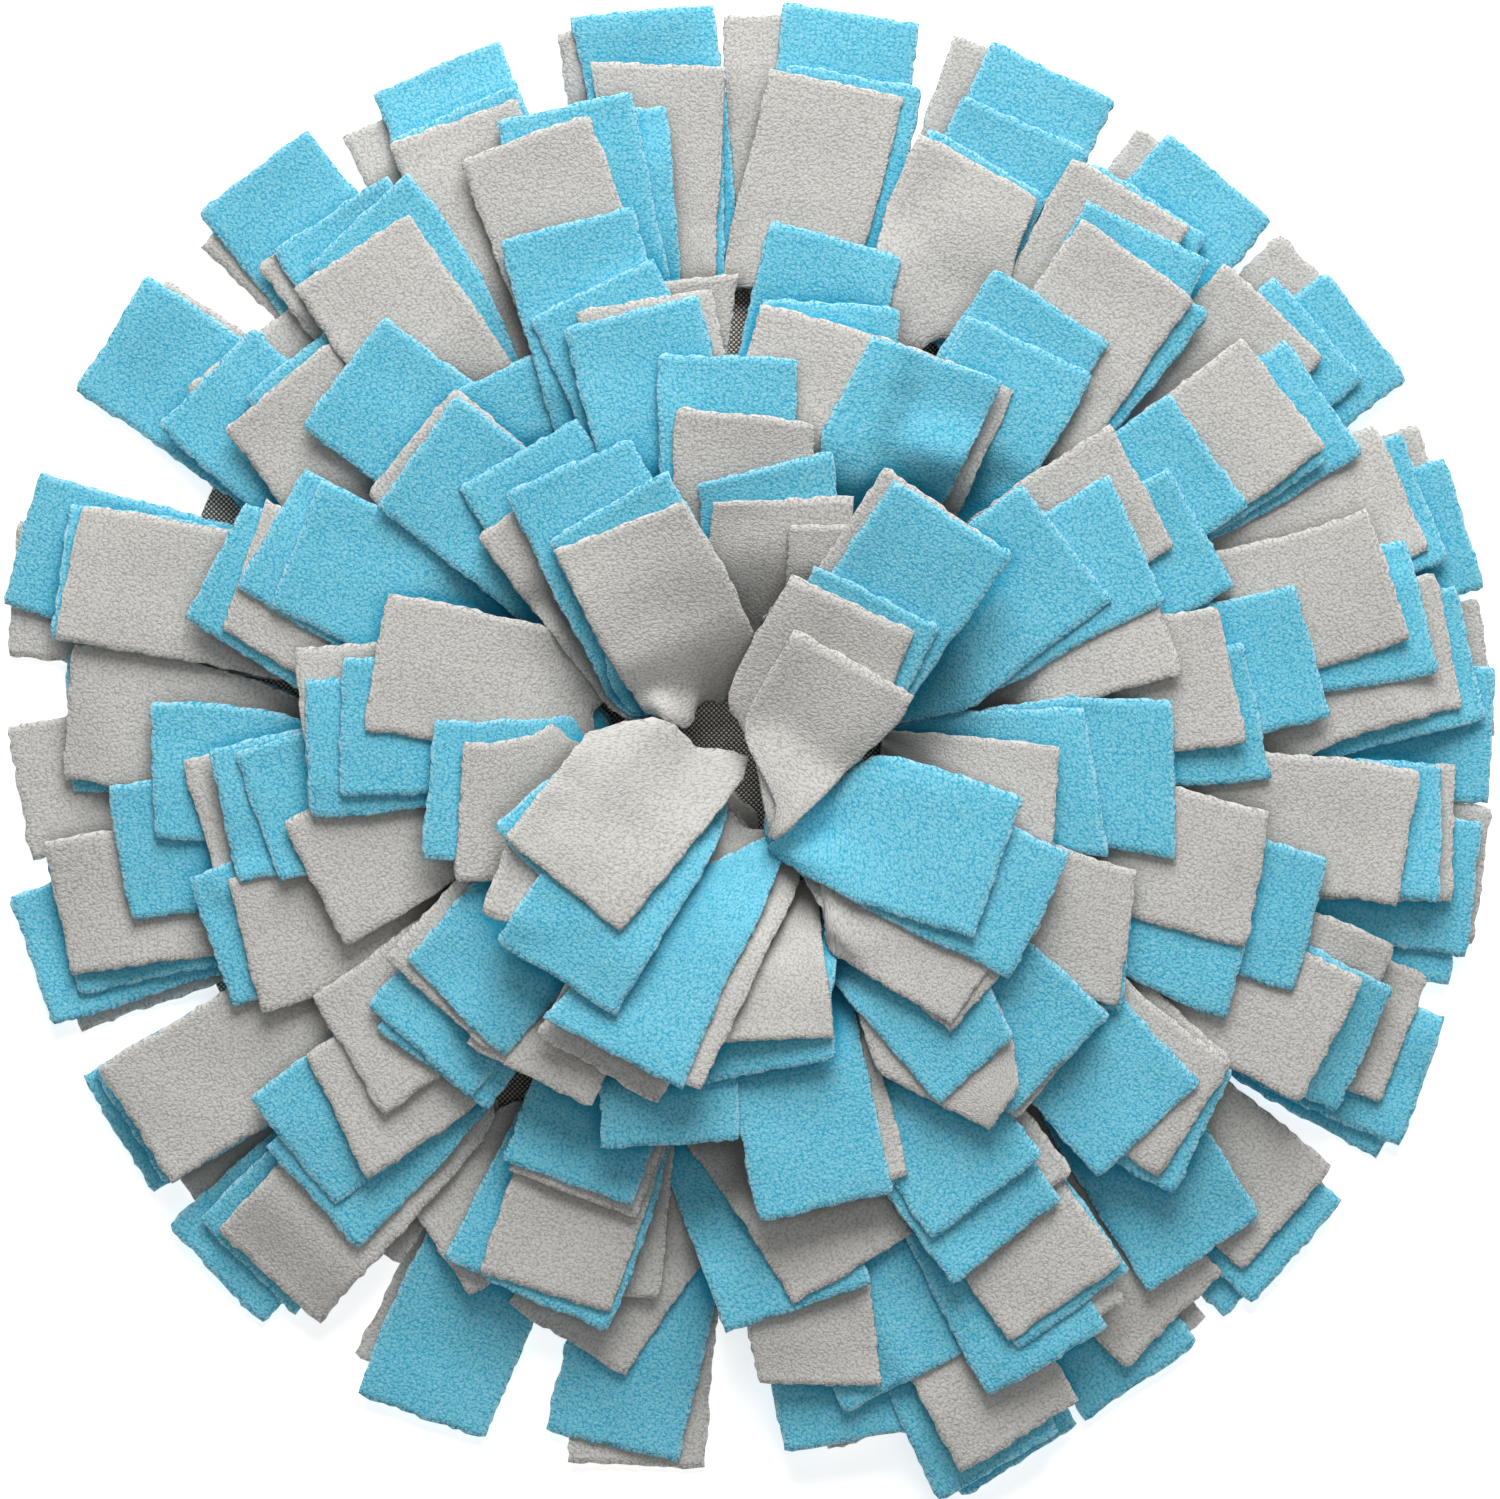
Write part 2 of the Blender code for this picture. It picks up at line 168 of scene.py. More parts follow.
# How a bunch's flaps are folded at their roots. The fold is pulled to the right and up in plan, has
# a width, and opens to the full width over a length, with shoulders that are straight at a
# roundness of 1 and a quarter circle at 2. It has two lobes that stand back by a depth, with a
# notch between them at a share of the half width.
Fold = namedtuple("Fold", "right up width opening roundness depth notch")
PLAIN_FOLD = Fold(0, 0, 36, 14, 2.0, 3.5, 0.0)
FOLDS = {
    "crown_03": Fold(-14, -4, 28, 14, 2.0, 3.5, 0.0),
    "middle_01": Fold(-4, -12, 5, 40, 1.1, 1.0, 0.1),
    "middle_02": Fold(-7, -5, 26, 16, 2.0, 3.0, -0.2),
    "middle_03": Fold(-16, 7, 14, 26, 1.5, 2.0, 0.2),
    "middle_04": Fold(0, -23, 5, 40, 1.1, 1.0, -0.1),
}

# Flaps that lie otherwise than in a plain arc. Each has its left and its right edge as places in
# plan, from the fold to the tip, and how far the fold stands back at even steps from left to right.
Outline = namedtuple("Outline", "left right back")
OUTLINES = {
    "rim_01_flap_2": Outline(
        ((-38, 155), (-50, 200), (-60, 242.3)),
        ((-8, 152), (-4.9, 178), (-8, 212.7), (-12.7, 246.3)), (0, 0, 0)),
    "rim_01_flap_3": Outline(
        ((-40, 155), (-47, 185), (-55, 221)),
        ((-8.7, 150), (-8.9, 180), (-9.3, 205), (-12, 222)), (0, 0, 0)),
    "rim_01_flap_4": Outline(
        ((-40, 155), (-47, 185), (-52.7, 226.7)),
        ((-11.7, 152), (-11.3, 178), (-9.8, 191.3), (-8.7, 224.7)), (0, 0, 0)),
    "rim_02_flap_4": Outline(
        ((-9.3, 152), (-5.1, 177), (1, 198.2), (7, 224)),
        ((30, 152), (38.7, 167), (43.3, 184), (51, 215)), (0, 0, 0)),
    "rim_13_flap_4": Outline(
        ((34, -155), (39.5, -181), (43.3, -213.3)), ((3, -155), (-1, -193.3), (3.3, -212.7)), (0, 0, 0)),
    "second_03_flap_1": Outline(
        ((8, -108), (25, -140), (40, -179.3)),
        ((-22, -112), (-29, -141), (-7.7, -195.3)), (0, 0, 0)),
    "third_01_flap_1": Outline(
        ((-92, 20), (-125, 12), (-150, 22.3), (-174.4, 37.7)),
        ((-88, 40), (-128, 60), (-160, 80)), (0, 0, 0)),
    "third_01_flap_2": Outline(
        ((-92, 18), (-125, 8), (-151, 18.3), (-187, 41)),
        ((-90, 40), (-128, 60), (-167, 79)), (0, 0, 0)),
    "third_03_flap_1": Outline(
        ((-50, 92), (-56, 108), (-55, 130), (-48.5, 150.5)),
        ((-28, 96), (-14, 108), (-8.5, 125), (-4.3, 154.7)), (0, 0, 0)),
    "fifth_05_flap_2": Outline(
        ((31.7, 60.7), (24, 80.7), (23, 100), (40.7, 133.3)),
        ((43.3, 60.7), (65, 80.7), (83.3, 119)), (0, 0, 0)),
    "fifth_06_flap_2": Outline(
        ((38, 30), (75, 62), (118.5, 88)),
        ((42, 5), (88, 20), (110.3, 33.3), (137, 46)), (0, 0, 0)),
    "fifth_06_flap_3": Outline(
        ((34, 28), (55, 56), (73.3, 72.7), (89.7, 84.3)),
        ((41, 5), (73.3, 11), (97, 30.3), (119.3, 46.7)), (0, 0, 0)),
    "fifth_07_flap_1": Outline(
        ((45, 3.7), (65.6, 8.8), (105.6, 14.7), (139.3, 13.3)),
        ((45, -6), (70, -28), (117.4, -34.9), (140.4, -38.6)), (0, 0, 0)),
    "fifth_07_flap_2": Outline(
        ((45, 3.7), (66, 9.7), (110, 11)), ((45, -6), (70, -32), (118, -38)), (0, 0, 0)),
    "fifth_07_flap_3": Outline(
        ((44, 3.7), (60, 2.5), (101.7, -1.7)), ((44, -6), (60, -35), (98, -46)), (0, 0, 0)),
    "fifth_09_flap_3": Outline(
        ((46, -44), (70, -66), (85.5, -95), (88, -113.5)),
        ((30, -58), (36, -90), (42, -109), (78.7, -127)), (0, 0, 0)),
    "fifth_09_flap_4": Outline(
        ((48, -44), (68, -62), (77, -78), (86, -97)),
        ((25.3, -62), (26, -77.3), (44, -98), (62, -118.7)), (0, 0, 0)),
    "crown_01_flap_2": Outline(
        ((22, -46), (23.3, -62.7), (27.3, -96.7)), ((5, -47), (-10, -62), (-17, -98.5)), (0, 0, 0)),
    "crown_02_flap_4": Outline(
        ((8.3, -40.7), (2.7, -58.3), (-7.3, -76.7), (-22.3, -113.3)),
        ((-18.7, -42), (-40, -62), (-67.3, -90)), (6, 14, 8, 3, 0)),
    "crown_04_flap_5": Outline(
        ((4, 40), (12.5, 50), (13, 70.5)), ((16, 34), (40, 40), (55, 52), (57.5, 72)), (0, 0, 0)),
    "middle_01_flap_2": Outline(
        ((23, -42), (45, -36), (68, -45), (89, -58)),
        ((25.7, -68.3), (45, -80), (65.7, -92)), (0, 0, 0)),
    "middle_01_flap_4": Outline(
        ((6.3, -34.7), (17, -23), (30, -12), (42, -3.5), (65, -10), (89, -18.5)),
        ((6.7, -36), (13, -40.7), (35, -52.5), (55, -58.7), (73, -63.7)), (0, 0, 0)),
    "middle_02_flap_4": Outline(
        ((-1, -5.5), (-2, -12), (-20, -34.5), (-42.5, -61.5)),
        ((-53.7, 2), (-66, -14), (-79.5, -31.5)), (0, 2, 0, 7.5, 10.5, 8, 0)),
    "middle_03_flap_4": Outline(
        ((-34.3, 10.3), (-46.3, 27), (-64, 62.5)),
        ((-9.3, 13), (-1.5, 25.5), (1.5, 34.5), (-8, 56), (-21.5, 78.3)), (0, 3, 6, 8, -1, -2, 0)),
    "middle_04_flap_4": Outline(
        ((6.5, -30.5), (3, -8), (-1.5, 5.5), (-9, 11.5), (-2, 28.5), (14, 54.3)),
        ((8.3, -31.5), (27, -15), (43, 7), (47, 21), (53.5, 36)), (0, 0, 0)),
    "middle_04_flap_5": Outline(
        ((6, -31), (10.5, -22), (4, -10), (-2, 1), (-2.3, 6.7), (5, 19.7), (14.7, 36.7)),
        ((8.3, -32), (20.3, -22), (32, -9), (42, 0), (48.3, 5.7), (53.7, 15)), (0, 0, 0)),
}

# Flaps that are laid later or earlier than their place in their bunch, each with the ring and the
# layer, counted from 0, that it goes down with
LAID_WITH = {
    "rim_13_flap_3": ("rim", 3),
    "third_01_flap_1": ("third", 2),
    "fifth_05_flap_2": ("fifth", 2),
    "crown_02_flap_1": ("fourth", 3),
}

# Each row is a bunch: where it is sewn, then its flaps from the bottom up. A flap's cloth is g for
# grey or b for blue. Its reach is from root to tip in plan, its lean is from the bunch's bearing,
# and its turn is how far its tip then curls to the right of that line.
Bunch = namedtuple("Bunch", "radius bearing cloths reaches leans turns")

RINGS = {
    "rim": (
        Bunch(155, 352, "gbbg", (89, 93, 74, 74), (-5, -1, -1, 1), (6, 4, 11, 11)),
        Bunch(155, 8, "gbbg", (90, 91, 70, 66), (-13, 0, 3, -1), (4, 1, 0, 4)),
        Bunch(155, 24, "gbbbg", (91, 91, 71, 54, 52), (-7, 1, 0, -6, -9), (3, 0, 0, 12, 15)),
        Bunch(142, 41, "gbbgbbg", (102, 104, 84, 83, 74, 63, 64),
              (-8, -3, -12, -17, -9, -1, -7), (4, 2, 6, 7, -4, -6, 2)),
        Bunch(148, 58, "gbbgbbg", (101, 101, 88, 82, 75, 62, 64),
              (-16, -5, -11, -21, 3, 0, -4), (4, 0, 2, 6, -4, -2, -2)),
        Bunch(148, 75, "gbbgbg", (99, 102, 93, 88, 81, 71),
              (-13, -5, -13, -17, 10, 1), (11, 3, 7, 10, -9, -6)),
        Bunch(155, 88, "gbbg", (94, 93, 89, 83), (-10, 4, -14, -18), (6, 2, 3, 9)),
        Bunch(150, 100, "gbbgbg", (99, 94, 97, 87, 82, 71),
              (1, 10, 4, -7, -7, -5), (-2, -15, -6, -2, 0, 6)),
        Bunch(150, 116, "bbggbg", (100, 102, 90, 74, 79, 67),
              (6, 2, -4, -8, 2, 4), (-5, -8, 0, 8, -1, -5)),
        Bunch(153, 133, "bbgb", (95, 97, 87, 77), (6, 0, -4, 16), (-5, -2, 1, -3)),
        Bunch(155, 147, "gbg", (91, 96, 85), (0, 4, -9), (-3, -7, -2)),
        Bunch(155, 161, "gbbg", (96, 102, 100, 93), (-3, -4, 0, -6), (-5, -9, -11, -6)),
        Bunch(155, 173, "gbbg", (81, 80, 67, 60), (-14, -4, -22, 3), (3, 0, 5, 5)),
        Bunch(155, 190, "gbg", (90, 85, 58), (-3, 3, 26), (-5, 0, -5)),
        Bunch(155, 206, "gbg", (88, 96, 46), (4, 0, 29), (-5, -6, 2)),
        Bunch(155, 222, "gbbg", (56, 98, 88, 85), (-7, 8, 5, 0), (1, -3, -1, 1)),
        Bunch(155, 237, "gbbg", (86, 94, 89, 86), (-9, 3, 3, 3), (6, -1, -1, -2)),
        Bunch(155, 253, "gbbg", (89, 96, 83, 83), (-3, 0, 5, 10), (0, -1, -1, -2)),
        Bunch(155, 267, "gbg", (90, 74, 75), (-3, 14, 17), (-5, -14, -10)),
        Bunch(155, 286, "gbbg", (98, 98, 82, 79), (-11, -1, -6, -6), (0, 1, -3, -1)),
        Bunch(142, 300, "gbgbbg", (106, 112, 77, 77, 64, 58),
              (7, 6, 22, 11, 35, 24), (-6, -3, 1, 3, -13, -3)),
        Bunch(145, 319, "gbgbbg", (103, 108, 80, 80, 73, 65),
              (-4, 0, 2, 7, 12, 6), (-1, 4, 3, 2, -13, 0)),
        Bunch(155, 335, "gbbg", (87, 94, 77, 74), (-10, 0, -1, -2), (12, 3, 2, 5)),
    ),
    "second": (
        Bunch(137, 341, "bbg", (80, 83, 77), (15, 7, -4), (-1, 0, 5)),
        Bunch(134, 154, "gbbg", (90, 94, 83, 79), (-5, 1, -10, -9), (-1, -5, 0, 0)),
        Bunch(115, 184, "bg", (76, 73), (-22, -39), (1, 6)),
        Bunch(120, 202, "gbbg", (73, 78, 79, 75), (-16, 5, -5, -4), (-2, -2, 7, 2)),
        Bunch(118, 226, "bbg", (92, 86, 67), (-5, 5, 5), (5, 2, 11)),
        Bunch(118, 255, "bbgbg", (96, 87, 68, 74, 65), (11, 29, 17, -14, -20), (-5, -15, -19, 10, 21)),
    ),
    "third": (
        Bunch(100, 288, "gbbb", (75, 86, 75, 65), (3, 2, 14, 14), (5, 11, -2, -12)),
        Bunch(104, 317, "bb", (79, 49), (-11, 32), (1, -13)),
        Bunch(107, 338, "gb", (68, 75), (1, 6), (5, 1)),
        Bunch(102, 36, "bb", (74, 59), (-3, -2), (1, -9)),
        Bunch(98, 58, "bbg", (82, 69, 57), (-1, 16, -3), (-2, -15, 5)),
        Bunch(106, 80, "bbg", (83, 64, 55), (2, 17, 6), (-6, -21, -7)),
        Bunch(106, 104, "bbg", (90, 74, 68), (9, 22, 3), (-7, -22, -5)),
        Bunch(110, 129, "gbgb", (78, 88, 83, 75), (3, 4, 3, 13), (1, -17, -11, -6)),
        Bunch(106, 157, "gbb", (74, 80, 64), (-16, -10, -12), (2, -6, -1)),
    ),
    "fourth": (
        Bunch(85, 173, "gb", (66, 70), (-10, -5), (5, 0)),
        Bunch(78, 202, "gbb", (83, 80, 60), (-1, 1, -25), (-2, -4, 1)),
        Bunch(70, 235, "gbbgb", (99, 83, 81, 65, 62), (-5, -20, -15, -10, -15), (7, 2, 0, -4, 3)),
        Bunch(88, 264, "bbg", (88, 77, 68), (-4, -6, -28), (-2, -7, 7)),
    ),
    "fifth": (
        Bunch(60, 281, "gbbg", (89, 88, 76, 66), (-13, -20, -16, 2), (-2, 7, 6, -5)),
        Bunch(64, 315, "gbb", (86, 82, 59), (-6, -7, 13), (1, 0, -1)),
        Bunch(74, 345, "bgb", (85, 76, 73), (-8, 3, -1), (-3, 1, 3)),
        Bunch(80, 7, "bbg", (90, 68, 61), (5, 8, 8), (2, -9, -1)),
        Bunch(68, 31, "gb", (74, 74), (-6, -9), (-3, -3)),
        Bunch(56, 61, "gbb", (88, 88, 68), (18, 1, -5), (-6, 3, -5)),
        Bunch(62, 93, "bbg", (78, 53, 41), (4, 8, 14), (-8, -21, -14)),
        Bunch(66, 119, "bg", (75, 74), (-2, -3), (-21, -17)),
        Bunch(64, 147, "gbgb", (86, 85, 75, 66), (-19, -19, 3, -1), (3, 7, 2, -6)),
    ),
    "crown": (
        Bunch(48, 165, "bg", (62, 51), (21, 17), (-16, -4)),
        Bunch(36, 186, "gggb", (101, 85, 75, 76), (37, 27, 20, 26), (-17, -3, 1, -6)),
        Bunch(45, 257, "bg", (62, 53), (8, -1), (10, 18)),
        Bunch(44, 0, "bgbgg", (83, 63, 46, 37, 40), (-5, -1, 6, 17, 51), (8, 8, -19, -19, -45)),
    ),
    "middle": (
        Bunch(28, 140, "ggbb", (84, 86, 85, 65), (-8, -28, -25, -32), (-2, 3, 2, 4)),
        Bunch(22, 252, "gbbg", (70, 60, 82, 57), (-33, -21, -41, -27), (-25, -6, 1, -8)),
        Bunch(21, 308, "gbbg", (87, 89, 71, 63), (13, 23, 27, 27), (3, 5, -4, 2)),
        Bunch(12, 100, "gbbgg", (94, 93, 58, 51, 36), (-67, -64, -69, -75, -61), (1, -2, -6, 0, -8)),
    ),
}


def all_bunches():
    """Each bunch with its ring's name and its number in the ring, from 1."""
    for ring, bunches in RINGS.items():
        for number, bunch in enumerate(bunches, 1):
            yield ring, number, bunch


def heading(bearing):
    """Unit vectors in plan along bearings in degrees: (sine, cosine)."""
    angle = np.radians(bearing)
    return np.stack((np.sin(angle), np.cos(angle)), axis=-1)


def middle_line(bunch, reach, lean, turn, distance):
    """Points on a flap's middle line, and the bearing of the line there.

    The line is an arc. At a share u of it, the chord from the root has the length
    reach * sin(turn * u) / sin(turn), and lies turn * (1 - u) back from the whole chord.
    """
    bend = math.radians(turn) if turn else STRAIGHT
    share = np.arcsin(np.clip(distance / reach * math.sin(bend), -1.0, 1.0)) / bend
    chord = bunch.bearing + lean - turn * (1.0 - share)
    place = bunch.radius * heading(bunch.bearing) + distance[..., None] * heading(chord)
    return place, chord + turn * share


def stations(reach):
    """Distances from the root at which the solid has a section."""
    more = max(1, math.ceil((reach - SPREAD_LENGTH) / STATION_SPACING))
    return np.concatenate((NEAR_STATIONS, np.linspace(SPREAD_LENGTH, reach, more + 1)[1:]))


def solid_vertices(node):
    """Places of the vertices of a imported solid, in millimetres."""
    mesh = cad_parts[node].data
    found = np.empty(3 * len(mesh.vertices))
    mesh.vertices.foreach_get("co", found)
    return found.reshape(-1, 3) / MM


def solid_heights(vertices, taken, bunch, reach, lean, turn):
    """Heights of the solid's underside at each section's left and right corner.

    A corner is looked up among the solid's vertices by its place in plan. Where two flaps of a
    bunch have the same corner, the lower one is the flap that was laid first, and taken counts
    those already found. The corners inside the sewn root have no vertex, and take the heights of
    the next section.
    """
    distance = stations(reach)
    place, along = middle_line(bunch, reach, lean, turn, distance)
    opened = 0.5 - 0.5 * np.cos(math.pi * np.minimum(1.0, distance / SPREAD_LENGTH))
    half = 0.5 * (GATHERED_WIDTH + (FLAP_WIDTH - GATHERED_WIDTH) * opened)
    across = half[:, None] * heading(along + 90.0)
    corners = np.stack((place - across, place + across), axis=1)
    heights = np.full(corners.shape[:2], np.nan)
    for station, side in np.ndindex(heights.shape):
        corner = corners[station, side]
        near = np.hypot(*(vertices[:, :2] - corner).T) < CORNER_FOUND
        levels = np.unique(vertices[near, 2].round(2))
        key = tuple(corner.round(1))
        order = taken.get(key, 0)
        taken[key] = order + 1
        if 2 * order < len(levels):
            heights[station, side] = levels[2 * order]
    for side in (0, 1):
        known = ~np.isnan(heights[:, side])
        heights[:, side] = np.interp(distance, distance[known], heights[known, side])
    return heights


def neighbours(field, axis):
    """The values before and after each point of a grid, along an axis; an end is its own neighbour."""
    padded = np.concatenate((field.take([0], axis), field, field.take([-1], axis)), axis=axis)
    count = field.shape[axis]
    return padded.take(range(count), axis), padded.take(range(2, count + 2), axis)


def blurred(field, times):
    """A grid with each point replaced by the weighted mean of it and its neighbours, times over."""
    for _ in range(times):
        for axis in (0, 1):
            before, after = neighbours(field, axis)
            field = 0.5 * field + 0.25 * (before + after)
    return field


def widened(field, times, fall):
    """A grid with each point raised to its highest neighbour less a fall, times over."""
    for _ in range(times):
        for axis in (0, 1):
            field = np.maximum(field, np.maximum(*neighbours(field, axis)) - fall)
    return field


def linked_object(name, data):
    """A new object in the scene."""
    made = bpy.data.objects.new(name, data)
    bpy.context.scene.collection.objects.link(made)
    return made


def wobble(rng, along, size, spacing):
    """A smooth random line: four sines, each with a random phase and a wavelength near spacing."""
    line = np.zeros_like(along)
    for stretch in (0.6, 1.0, 1.7, 2.9):
        phase = rng.uniform(0.0, 2.0 * math.pi)
        line += stretch ** 0.5 * np.sin(2.0 * math.pi * along / (stretch * spacing) + phase)
    return 0.4 * size * line


def slack(x, y):
    """The gentle swell that all cloth in one place shares: a sum of crossed sines."""
    swell = np.sin(x / 12.0 + 1.7 * np.sin(y / 19.0)) * np.cos(y / 14.0 + 1.3 * np.sin(x / 17.0))
    return 0.6 * swell + 0.25 * np.sin((x + y) / 9.0) * np.sin((x - 2.0 * y) / 16.0)


def smooth_edge(points, share):
    """Places along a line through points, at shares of its length, with its corners rounded."""
    points = np.array(points, dtype=float)
    lengths = np.append(0.0, np.linalg.norm(np.diff(points, axis=0), axis=1).cumsum())
    found = [np.interp(share * lengths[-1], lengths, column) for column in points.T]
    ends = [column[[0, -1]].copy() for column in found]
    for _ in range(OUTLINE_BLUR):
        for column, end in zip(found, ends):
            column[1:-1] = 0.25 * (column[:-2] + column[2:]) + 0.5 * column[1:-1]
            column[[0, -1]] = end
    return np.stack(found, axis=-1)


def outlined_plan(outline, side, from_fold):
    """Places in plan of a flap that fills an outline: straight across between its two edges.

    Its fold stands back along the flap by the outline's own distances, which soon fade.
    """
    share = from_fold[:, 0] / from_fold[-1, 0]
    left, right = smooth_edge(outline.left, share), smooth_edge(outline.right, share)
    across = 0.5 * (side[..., None] + 1.0)
    place = left[:, None] * (1.0 - across) + right[:, None] * across
    ahead = 0.5 * (left[-1] + right[-1] - left[0] - right[0])
    steps = np.linspace(-1.0, 1.0, len(outline.back))
    back = blurred(np.interp(side[:1], steps, outline.back), OUTLINE_BLUR)
    back = back * np.exp(-from_fold / OUTLINE_LOBE_LENGTH)
    return place - back[..., None] * ahead / np.linalg.norm(ahead)


def flap_surface(bunch, reach, lean, turn, fold, outline, heights, rng):
    """Plan places, underside heights and places across the cloth of a flap's grid, in millimetres.

    The distance from the root runs evenly along the rows. At the root it is pushed back in two
    lobes, and at the tip it follows an uneven cut with rounded corners. The width opens along a
    superellipse. The height follows the solid's sections, rounded off, lower in the middle of the
    mat and down to the disc at the fold, with two lobes that fade with the distance, a slight cup
    across the flap, a tilt, a lift at the tip and the swell that all cloth there shares.
    """
    rows = 2 * int(0.5 * (reach + BACK_LENGTH) / GRID_STEP) + 1
    line = np.linspace(-BACK_LENGTH, reach, rows)
    even, side = np.meshgrid(line, np.linspace(-1.0, 1.0, COLUMNS), indexing="ij")
    from_fold = even + BACK_LENGTH
    share = from_fold / from_fold[-1]
    shift = rng.uniform(-NOTCH_SHIFT, NOTCH_SHIFT)
    lobes = 0.5 - 0.5 * np.cos(2.0 * math.pi * (side - fold.notch + shift))
    corner = np.clip((np.abs(side) - CORNER_START) / CORNER_WIDTH, 0.0, 1.0)
    cut = rng.normal(0.0, CUT_SKEW) * side + wobble(rng, side[:1], *CUT_WAVE)
    cut = cut - CORNER_DEPTH * corner ** 2
    distance = even - fold.depth * lobes * np.exp(-from_fold / (LOBE_LENGTH + fold.depth))
    distance = distance + cut * np.exp(-(reach - even) / CUT_LENGTH)
    place, along = middle_line(bunch, reach, lean, turn, distance)
    closed = 1.0 - np.clip(from_fold / fold.opening, 0.0, 1.0)
    opened = (1.0 - closed ** fold.roundness) ** (1.0 / fold.roundness)
    half = 0.5 * (fold.width + (FLAP_WIDTH - fold.width) * opened)
    left_edge, right_edge = wobble(rng, line, *EDGE_WAVE), wobble(rng, line, *EDGE_WAVE)
    edges = np.where(side < 0.0, left_edge[:, None], right_edge[:, None])
    offset = side * (half + edges * np.abs(side))
    pull = np.clip(1.0 - from_fold / PULL_LENGTH, 0.0, 1.0)[..., None] ** 2
    place = place + offset[..., None] * heading(along + 90.0) + pull * (fold.right, fold.up)
    if outline:
        place = outlined_plan(outline, side, from_fold)

    knots = stations(reach)
    left = np.interp(line, knots, heights[:, 0])[:, None]
    right = np.interp(line, knots, heights[:, 1])[:, None]
    z = 0.5 * (left * (1.0 - side) + right * (1.0 + side))
    z = blurred(z, SECTION_BLUR)
    radius = np.hypot(place[..., 0], place[..., 1])
    z *= 1.0 - HOLLOW_DEPTH * np.exp(-(radius / HOLLOW_RADIUS) ** 2)
    fade = np.clip(1.0 - from_fold / RISE_LENGTH, 0.0, 1.0)
    z = ROOT_HEIGHT + (z - ROOT_HEIGHT) * (1.0 - fade ** 2)
    z += rng.uniform(*LOBE_RISE) * (lobes - LOBE_MIDDLE) * fade ** 1.5
    z += rng.normal(0.0, CUP) * (side ** 2 - CUP_LEVEL) * share
    z += rng.normal(0.0, TILT) * side * share
    z += rng.uniform(*TIP_LIFT) * share ** 4
    swell = SLACK_SIZE * slack(place[..., 0], place[..., 1])
    z += swell * np.clip(from_fold / SLACK_START, 0.0, 1.0)
    return place, z, offset


def lengths_along(place, z):
    """Each row's distance from the first, measured over the surface along its middle line."""
    middle = np.dstack((place, z))[:, COLUMNS // 2]
    steps = np.linalg.norm(np.diff(middle, axis=0), axis=1)
    return np.broadcast_to(np.append(0.0, steps.cumsum())[:, None], z.shape)


def grid_faces(rows, columns):
    """Quads of a closed sheet: its top, its underside, and a rounded rim of two bands."""
    count = rows * columns
    number = np.arange(count).reshape(rows, columns)
    quads = np.stack((number[:-1, :-1], number[:-1, 1:], number[1:, 1:], number[1:, :-1]), axis=-1)
    top = quads.reshape(-1, 4)
    rim = np.concatenate((number[0, :-1], number[:-1, -1], number[-1, :0:-1], number[:0:-1, 0]))
    bulge = 2 * count + np.arange(len(rim))
    ahead, bulge_ahead = np.roll(rim, -1), np.roll(bulge, -1)
    upper = np.stack((ahead, rim, bulge, bulge_ahead), axis=-1)
    lower = np.stack((bulge_ahead, bulge, rim + count, ahead + count), axis=-1)
    return rim, np.concatenate((top, top[:, ::-1] + count, upper, lower))


def sheet_object(name, place, z, thick, flat, painted_shade, finish, rng):
    """A closed sheet of fleece on a grid, with its flat pattern in metres as its UV map.

    The attribute cut_edge is 1 on the rim and 0 elsewhere, and the other attribute says how far a point
    lies down beside other cloth, which the material paints as shade. Nubs of pile stand out from the rim
    by random amounts.
    """
    rows, columns = z.shape
    rim, faces = grid_faces(rows, columns)
    under = np.dstack((place, z)).reshape(-1, 3)
    over = np.dstack((place, z + thick)).reshape(-1, 3)
    ahead = np.roll(under[rim], -1, axis=0) - np.roll(under[rim], 1, axis=0)
    out = np.column_stack((ahead[:, 1], -ahead[:, 0], np.zeros(len(rim))))
    out /= np.maximum(np.linalg.norm(out, axis=1, keepdims=True), 1e-6)
    bulge = under[rim] + rng.uniform(0.0, NUB_REACH, (len(rim), 1)) * out
    bulge[:, 2] += rng.uniform(*NUB_LEVELS, len(rim)) * thick.ravel()[rim]
    vertices = np.concatenate((over, under, bulge)) * MM
    pattern = flat.reshape(-1, 2)
    pattern = (pattern, pattern + FACE_SHIFT, pattern[rim] + RIM_SHIFT * out[:, :2])
    pattern = np.concatenate(pattern) * MM
    mesh = bpy.data.meshes.new(name)
    mesh.vertices.add(len(vertices))
    mesh.vertices.foreach_set("co", vertices.ravel())
    mesh.loops.add(faces.size)
    mesh.loops.foreach_set("vertex_index", faces.ravel())
    mesh.polygons.add(len(faces))
    mesh.polygons.foreach_set("loop_start", np.arange(0, faces.size, 4))
    mesh.polygons.foreach_set("use_smooth", np.ones(len(faces), dtype=bool))
    layer = mesh.uv_layers.new(name="flat_cloth")
    layer.data.foreach_set("uv", pattern[faces.ravel()].ravel())
    mesh.update(calc_edges=True)
    mesh.validate()
    edge = np.zeros(len(vertices))
    edge[np.concatenate((rim, rim + len(under)))] = 1.0
    edge[2 * len(under):] = 1.0
    mesh.attributes.new("cut_edge", "FLOAT", "POINT").data.foreach_set("value", edge)
    painted_shade = painted_shade.ravel()
    painted_shade = np.concatenate((painted_shade, painted_shade, painted_shade[rim]))
    mesh.attributes.new("painted_shade_depth", "FLOAT", "POINT").data.foreach_set("value", painted_shade)
    mesh.materials.append(finish)
    return linked_object(name, mesh)


